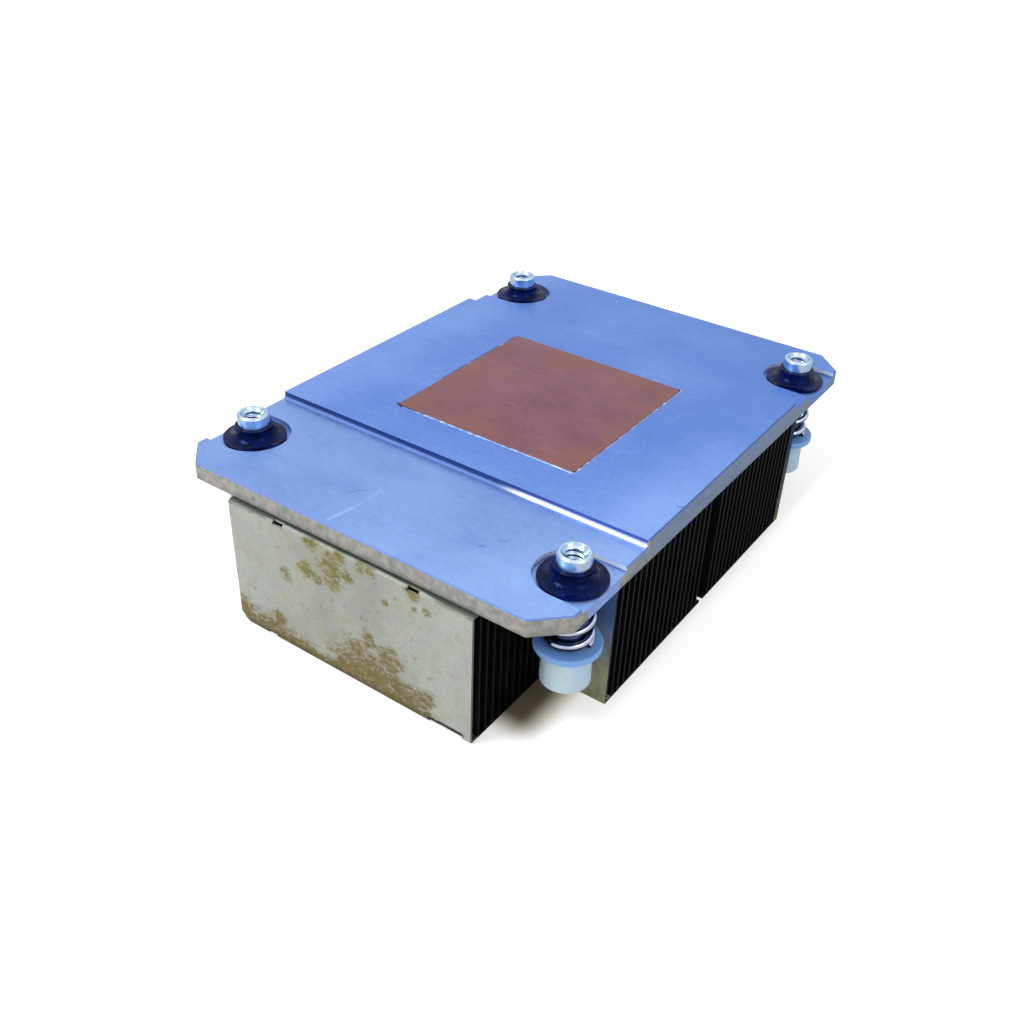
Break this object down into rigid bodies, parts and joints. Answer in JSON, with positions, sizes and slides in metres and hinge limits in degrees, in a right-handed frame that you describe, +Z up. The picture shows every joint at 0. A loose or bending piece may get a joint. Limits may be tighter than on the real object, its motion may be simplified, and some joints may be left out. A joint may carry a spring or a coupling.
{
  "type": "passive server cpu heatsink",
  "caption": "Flat cold plate with a copper contact slug over a stack of folded fins, held down by spring-loaded captive nuts.",
  "frame": {"origin": "middle of the footprint, at the height of the fins' lower folds, on which the part rests", "axes": "+Z up out of the cold plate towards the processor, +Y along the plate from the stained end to the other, +X across it"},
  "size_m": [0.07, 0.0998, 0.0299],
  "materials": {
    "plate_aluminium": "milled, satin, lightly scratched",
    "slug_copper": "lapped copper, dull, with fine drag marks",
    "fin_aluminium": "rolled sheet, dull, stained brown in patches",
    "zinc_steel": "bright zinc plate",
    "black_nylon": "black, glossy",
    "white_nylon": "natural white, satin",
    "spring_steel": "bright spring wire"
  },
  "bodies": {
    "heatsink": {"base_plate": "plate_aluminium", "copper_slug": "slug_copper", "front_end_fin": "fin_aluminium", "rear_end_fin": "fin_aluminium", "front_narrow_fins": "fin_aluminium", "rear_narrow_fins": "fin_aluminium", "wide_fin_01": "fin_aluminium", "wide_fin_02": "fin_aluminium", "wide_fin_03": "fin_aluminium", "wide_fin_04": "fin_aluminium", "wide_fin_05": "fin_aluminium", "wide_fin_06": "fin_aluminium", "wide_fin_07": "fin_aluminium", "wide_fin_08": "fin_aluminium", "wide_fin_09": "fin_aluminium", "wide_fin_10": "fin_aluminium", "wide_fin_11": "fin_aluminium", "wide_fin_12": "fin_aluminium", "wide_fin_13": "fin_aluminium", "wide_fin_14": "fin_aluminium", "wide_fin_15": "fin_aluminium", "wide_fin_16": "fin_aluminium", "wide_fin_17": "fin_aluminium", "wide_fin_18": "fin_aluminium", "wide_fin_19": "fin_aluminium", "wide_fin_20": "fin_aluminium", "wide_fin_21": "fin_aluminium", "wide_fin_22": "fin_aluminium", "wide_fin_23": "fin_aluminium", "wide_fin_24": "fin_aluminium", "wide_fin_25": "fin_aluminium", "wide_fin_26": "fin_aluminium", "wide_fin_27": "fin_aluminium", "wide_fin_28": "fin_aluminium", "wide_fin_29": "fin_aluminium", "wide_fin_30": "fin_aluminium", "wide_fin_31": "fin_aluminium", "wide_fin_32": "fin_aluminium", "wide_fin_33": "fin_aluminium", "wide_fin_34": "fin_aluminium", "wide_fin_35": "fin_aluminium", "wide_fin_36": "fin_aluminium", "spring_front_left": "spring_steel", "spring_front_right": "spring_steel", "spring_rear_left": "spring_steel", "spring_rear_right": "spring_steel"},
    "seat_front_left": {"spring_seat_front_left": "white_nylon"},
    "nut_front_left": {"captive_nut_front_left": "zinc_steel", "retaining_washer_front_left": "black_nylon"},
    "seat_front_right": {"spring_seat_front_right": "white_nylon"},
    "nut_front_right": {"captive_nut_front_right": "zinc_steel", "retaining_washer_front_right": "black_nylon"},
    "seat_rear_left": {"spring_seat_rear_left": "white_nylon"},
    "nut_rear_left": {"captive_nut_rear_left": "zinc_steel", "retaining_washer_rear_left": "black_nylon"},
    "seat_rear_right": {"spring_seat_rear_right": "white_nylon"},
    "nut_rear_right": {"captive_nut_rear_right": "zinc_steel", "retaining_washer_rear_right": "black_nylon"}
  },
  "joints": [
    {"name": "press_front_left", "type": "slide", "parent": "heatsink", "child": "seat_front_left", "axis": [0, 0, 1], "range_m": [0, 0.0035], "stiffness_N_per_m": 14000, "deforming": ["spring_front_left"]},
    {"name": "turn_front_left", "type": "hinge", "parent": "seat_front_left", "child": "nut_front_left", "pos_m": [-0.03, -0.03715, 0.02], "axis": [0, 0, 1], "continuous": true},
    {"name": "press_front_right", "type": "slide", "parent": "heatsink", "child": "seat_front_right", "axis": [0, 0, 1], "range_m": [0, 0.0035], "stiffness_N_per_m": 14000, "deforming": ["spring_front_right"]},
    {"name": "turn_front_right", "type": "hinge", "parent": "seat_front_right", "child": "nut_front_right", "pos_m": [0.03, -0.03715, 0.02], "axis": [0, 0, 1], "continuous": true},
    {"name": "press_rear_left", "type": "slide", "parent": "heatsink", "child": "seat_rear_left", "axis": [0, 0, 1], "range_m": [0, 0.0035], "stiffness_N_per_m": 14000, "deforming": ["spring_rear_left"]},
    {"name": "turn_rear_left", "type": "hinge", "parent": "seat_rear_left", "child": "nut_rear_left", "pos_m": [-0.03, 0.03715, 0.02], "axis": [0, 0, 1], "continuous": true},
    {"name": "press_rear_right", "type": "slide", "parent": "heatsink", "child": "seat_rear_right", "axis": [0, 0, 1], "range_m": [0, 0.0035], "stiffness_N_per_m": 14000, "deforming": ["spring_rear_right"]},
    {"name": "turn_rear_right", "type": "hinge", "parent": "seat_rear_right", "child": "nut_rear_right", "pos_m": [0.03, 0.03715, 0.02], "axis": [0, 0, 1], "continuous": true}
  ]
}
